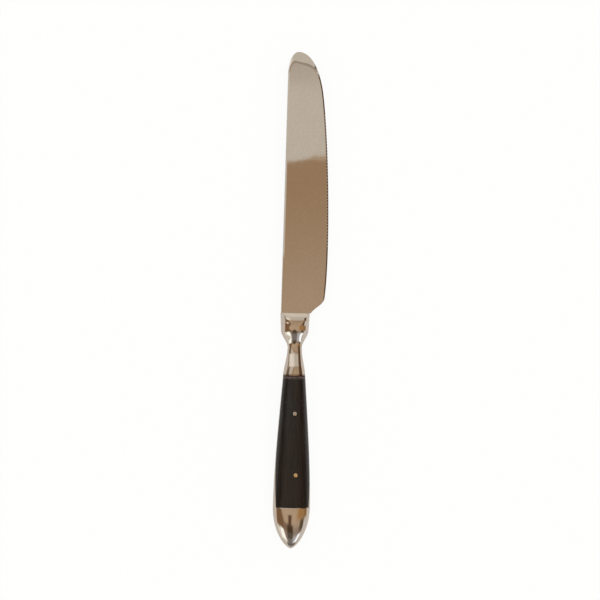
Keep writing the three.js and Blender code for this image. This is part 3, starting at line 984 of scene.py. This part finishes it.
def pin_brass(lines, marks):
    """Brass ground flush with the wood, more tarnished on the pin near the bolster."""
    material, tree, surface, place = new_material("brass_pin")
    hairs = placed(tree, lines, {"Place": place})
    smudge = placed(tree, marks, {"Place": place})["Mask"]
    greyed = ramp(tree, parts(tree, place)["Y"], laid_y(SCALE_END), laid_y(BOLSTER_END))
    colour = blend(tree, greyed, YELLOW_BRASS, GREYED_BRASS)
    colour = blend(tree, faintly(tree, smudge, TARNISH_SHOWS), colour, TARNISH)
    feed(
        tree, surface, Base_Color=colour, Metallic=1.0, Roughness=dulled(tree, smudge, PIN_ROUGHNESS),
        Normal=relief(tree, hairs["Height"], PIN_LINE_DEPTH),
    )
    return material


# Stage

# Floor, with the shares by which it is lifted towards white for the camera and for gloss
FLOOR_SIZE = 6.0
FLOOR_COLOUR = (0.99, 0.96, 0.92, 1)
FLOOR_ROUGHNESS = 0.9
FLOOR_WHITE = (1, 1, 0.995, 1)
FLOOR_GLOW = 0.92
FLOOR_GLOW_MIRRORED = 0.2

# Camera: distance in metres, lean and roll in degrees, and the field that it sees, in millimetres
CAMERA_DISTANCE = 0.95
CAMERA_LEAN = 9.0
CAMERA_ROLL = 1.2
FIELD_WIDTH = 284.1
FIELD_CENTRE = (2.05, 6.25)


class Card(NamedTuple):
    """A soft card round the studio that polished metal mirrors, in degrees from straight up.

    Its tone is the one that it gets in the frame's metal, as red, green and blue out of 255. Reach across
    runs to the edge side and reach along to the tip. Each side and end has its own softness, and the sides
    lean by some degrees across for each degree along, counted from the upper end."""
    tone: tuple
    across: tuple
    along: tuple
    soft_sides: tuple
    soft_ends: tuple
    leans: tuple = (0, 0)


# The cards lie one over another on pale walls. The fore edge of the tan one overhead slopes a little across
# the knife. Edges wander by noise, which has a size and a reach in degrees.
FULL_TONE = 255
PALE_WALLS = (204, 190, 176)
OVERHEAD_SLOPE = 0.08
OVERHEAD_AXIS = 12.5
OVERHEAD_WANDER = (0.6, 0.42)
CARD_WANDER = (9.0, 4.0)
LEAST_LEAN = 1e-5
FORE_CARDS = [
    Card((184, 170, 153), (-78, 42), (-95, 130), (8, 10), (8, 8)),
    Card((220, 206, 190), (-60, -6), (10, 42), (8, 16), (6, 8)),
    Card((202, 189, 172), (-70, 60), (56, 120), (10, 10), (4, 8)),
]
OVERHEAD_CARDS = [
    Card((170, 154, 137), (4, 24), (6.5, 9), (4, 4), (0.5, 2)),
    Card((148, 131, 114), (0, 28), (8.7, 13.3), (4, 4), (0.6, 0.7)),
    Card((172, 146, 118), (-140, 80), (-95, 4.2), (8, 8), (8, 0.03)),
    Card((162, 136, 110), (12.77, 80), (-6, 4.37), (0.03, 8), (5, 0.03), (1.1, 0)),
    Card((147, 117, 88), (-20, 60), (1.6, 4.2), (12, 8), (2.4, 0.03)),
]

# Brown and ochre cards at the sides, with a pale one low down
SIDE_CARDS = [
    Card((116, 86, 60), (-79, -50), (-34, 0.5), (5, 7), (4, 2), (0, -1.05)),
    Card((155, 112, 66), (26, 58), (-19, -4), (10, 10), (5, 4)),
    Card((132, 100, 62), (56, 82), (-20, -4), (8, 6), (4, 3)),
    Card((84, 62, 42), (40, 78), (-5.5, 40), (8, 6), (2, 4)),
    Card((106, 86, 64), (-94, -52), (-4, 11), (8, 6), (3, 4)),
    Card((132, 114, 94), (-100, -72), (11, 36), (5, 5), (4, 5)),
    Card((205, 190, 176), (-160, -84), (-110, 2), (4, 4), (5, 4)),
]

# A greyish card at the handle's end, with pale ones under it and a dark strip on the edge side
REAR_CARDS = [
    Card((138, 120, 104), (-30, 60), (-90, -27), (8, 10), (6, 8)),
    Card((216, 209, 196), (-160, -54), (-110, -36.5), (6, 6), (5, 3)),
    Card((192, 185, 178), (66, 160), (-110, -22), (6, 6), (5, 5), (0.25, 0)),
    Card((86, 70, 52), (40, 62), (-35, -19), (6, 5), (4, 4)),
    Card((212, 207, 200), (-160, 160), (-130, -76), (6, 6), (8, 6)),
    Card((164, 156, 148), (-24, 40), (-100, -74), (10, 10), (8, 5)),
]

# Two white soft boxes, with a pale card under the one on the spine side and a haze beside the other
SOFT_BOXES = [
    Card((198, 186, 172), (-48, -14), (-70, -55), (6, 6), (4, 3)),
    Card((255, 252, 238), (-54, -36), (-56, -33), (5, 4), (3, 2.5), (0, -0.75)),
    Card((172, 167, 167), (17, 40), (-60, -41), (9, 6), (4, 5), (0.2, 0)),
    Card((255, 255, 252), (42, 60), (-60, -40), (4, 4), (3, 2), (0.8, 0.75)),
]

# A dark stand between the soft boxes: a slim post on a body that widens to a grey foot, and its shade
DARK_STAND = [
    Card((122, 96, 76), (-28, -3), (-34, -24), (6, 4), (3, 3)),
    Card((92, 68, 48), (-8, 5.5), (-28, -13), (3, 3), (2, 1.2)),
    Card((72, 54, 37), (-12, 10), (-38, -25), (5, 4), (4, 3), (0.2, -0.2)),
    Card((84, 76, 62), (-14, 13), (-48, -36), (5, 5), (4, 3)),
    Card((114, 106, 99), (-13, 14), (-62, -47), (6, 7), (4, 3)),
    Card((104, 96, 91), (-24, 42), (-74, -59), (6, 10), (4, 3)),
]


def card_light(tone):
    """The light that the frame's metal mirrors as a tone."""
    seen = Color([part / FULL_TONE for part in tone]).from_srgb_to_scene_linear()
    return (*(part / share for part, share in zip(seen, FRAME_METAL.bright)), 1)


def mirrored_bearings(tree):
    """Degrees from straight up of a mirrored direction, to the edge side and to the tip."""
    way = add_node(tree, "ShaderNodeTexCoord", {}).outputs["Generated"]
    x, y, z = parts(tree, way)
    flat = calc(tree, "SQRT", calc(tree, "ADD", calc(tree, "MULTIPLY", x, x), calc(tree, "MULTIPLY", y, y)))
    lean = calc(tree, "DEGREES", calc(tree, "ARCTAN2", flat, z))
    share = calc(tree, "DIVIDE", lean, calc(tree, "MAXIMUM", flat, LEAST_LEAN))
    return calc(tree, "MULTIPLY", x, share), calc(tree, "MULTIPLY", y, share)


def wandering(tree, across, along, wander):
    """Bearings shifted about by noise, so that no card has a ruled edge."""
    size, reach = wander
    spot = add_node(tree, "ShaderNodeCombineXYZ", {0: across, 1: along}).outputs[0]
    inputs = {"Vector": spot, "Scale": 1 / size, "Detail": 2.0}
    noise = add_node(tree, "ShaderNodeTexNoise", inputs).outputs["Color"]
    red, green, _ = add_node(tree, "ShaderNodeSeparateColor", {0: noise}).outputs
    shifts = [calc(tree, "MULTIPLY", calc(tree, "SUBTRACT", part, 0.5), reach) for part in (red, green)]
    return calc(tree, "ADD", across, shifts[0]), calc(tree, "ADD", along, shifts[1])


def within(tree, value, edge, soft, way):
    """A mask that rises over a soft edge, upwards for a way of 1 and downwards for -1."""
    return ramp(tree, value, edge - way * soft, edge + way * soft)


def card_mask(tree, card, across, along):
    """Where a card lies."""
    mask = 1.0
    for edge, soft, lean, way in zip(card.across, card.soft_sides, card.leans, (1, -1)):
        below = calc(tree, "SUBTRACT", along, card.along[1])
        upright = calc(tree, "SUBTRACT", across, calc(tree, "MULTIPLY", below, lean))
        mask = calc(tree, "MULTIPLY", mask, within(tree, upright, edge, soft, way))
    for edge, soft, way in zip(card.along, card.soft_ends, (1, -1)):
        mask = calc(tree, "MULTIPLY", mask, within(tree, along, edge, soft, way))
    return mask


def lay_cards(tree, colour, cards, across, along):
    """Cards laid over a colour, one after another."""
    for card in cards:
        colour = blend(tree, card_mask(tree, card, across, along), colour, card_light(card.tone))
    return colour


def mirrored_studio(tree):
    """The colours that polished metal mirrors."""
    across, along = mirrored_bearings(tree)
    slope = calc(tree, "MULTIPLY", calc(tree, "SUBTRACT", across, OVERHEAD_AXIS), OVERHEAD_SLOPE)
    fore = wandering(tree, across, calc(tree, "SUBTRACT", along, slope), OVERHEAD_WANDER)[1]
    loose = wandering(tree, across, along, CARD_WANDER)
    colour = lay_cards(tree, card_light(PALE_WALLS), FORE_CARDS, *loose)
    colour = lay_cards(tree, colour, OVERHEAD_CARDS, across, fore)
    return lay_cards(tree, colour, SIDE_CARDS + REAR_CARDS + SOFT_BOXES + DARK_STAND, *loose)


def studio_world():
    """Plain white light all round. Only polished surfaces see the cards in it."""
    world = bpy.data.worlds.new("studio")
    bpy.context.scene.world = world
    world.use_nodes = True
    tree = world.node_tree
    sky = tree.nodes["Background"]
    gloss = add_node(tree, "ShaderNodeLightPath", {}).outputs["Is Glossy Ray"]
    tree.links.new(blend(tree, gloss, (1, 1, 1, 1), mirrored_studio(tree)), sky.inputs["Color"])
    sky.inputs["Strength"].default_value = 1


def pale_floor():
    """A pale floor that keeps the knife's faint shadow."""
    mesh = bpy.data.meshes.new("floor")
    bm = bmesh.new()
    bmesh.ops.create_grid(bm, x_segments=1, y_segments=1, size=FLOOR_SIZE / 2)
    bm.to_mesh(mesh)
    bm.free()
    floor = bpy.data.objects.new("floor", mesh)
    material, tree, surface, _ = new_material("pale_floor")
    feed(tree, surface, Base_Color=FLOOR_COLOUR, Roughness=FLOOR_ROUGHNESS)
    glow = add_node(tree, "ShaderNodeEmission", {"Color": FLOOR_WHITE, "Strength": 1.0}).outputs[0]
    rays = add_node(tree, "ShaderNodeLightPath", {}).outputs
    seen = calc(tree, "MULTIPLY", rays["Is Camera Ray"], FLOOR_GLOW)
    mirrored = calc(tree, "MULTIPLY", rays["Is Glossy Ray"], FLOOR_GLOW_MIRRORED)
    share = calc(tree, "MAXIMUM", seen, mirrored)
    mixed = add_node(tree, "ShaderNodeMixShader", {0: share, 1: surface.outputs[0], 2: glow}).outputs[0]
    tree.links.new(mixed, tree.nodes["Material Output"].inputs["Surface"])
    mesh.materials.append(material)
    bpy.context.scene.collection.objects.link(floor)


def portrait_camera():
    """Almost straight above, leaning to the spine side, with the tip leaning to the right of upright."""
    data = bpy.data.cameras.new("portrait")
    camera = bpy.data.objects.new("portrait", data)
    bpy.context.scene.collection.objects.link(camera)
    target = LAID @ Vector((*FIELD_CENTRE, 0))
    lean = Matrix.Rotation(math.radians(-CAMERA_LEAN), 4, "Y")
    roll = Matrix.Rotation(math.radians(CAMERA_ROLL), 4, "Z")
    away = Matrix.Translation((0, 0, CAMERA_DISTANCE))
    camera.matrix_world = Matrix.Translation(target) @ lean @ roll @ away
    data.angle = 2 * math.atan(FIELD_WIDTH * MM / 2 / CAMERA_DISTANCE)
    bpy.context.scene.camera = camera


bpy.context.scene.view_settings.view_transform = "Standard"
studio_world()
pale_floor()
portrait_camera()

lines = polishing_lines()
marks = handling_marks()
# Band along the bolster's joint: painted shade on the metal, painted highlight on the wood's rubbed front
joint_band = joint_shade_and_sheen()
blade_steel = polished_metal("blade_steel", BLADE_STEEL, lines, marks, joint_band)
frame_metal = polished_metal("frame_metal", FRAME_METAL, lines, marks, joint_band)
scale_wood = black_wood(marks, joint_band)
brass = pin_brass(lines, marks)
make_blade(blade_steel)
make_handle_frame(frame_metal)
make_scale("scale_front", "front_scale", 1, scale_wood)
make_scale("scale_back", "back_scale", -1, scale_wood)
for rivet, place in RIVETS.items():
    make_rivet(rivet, place, brass)
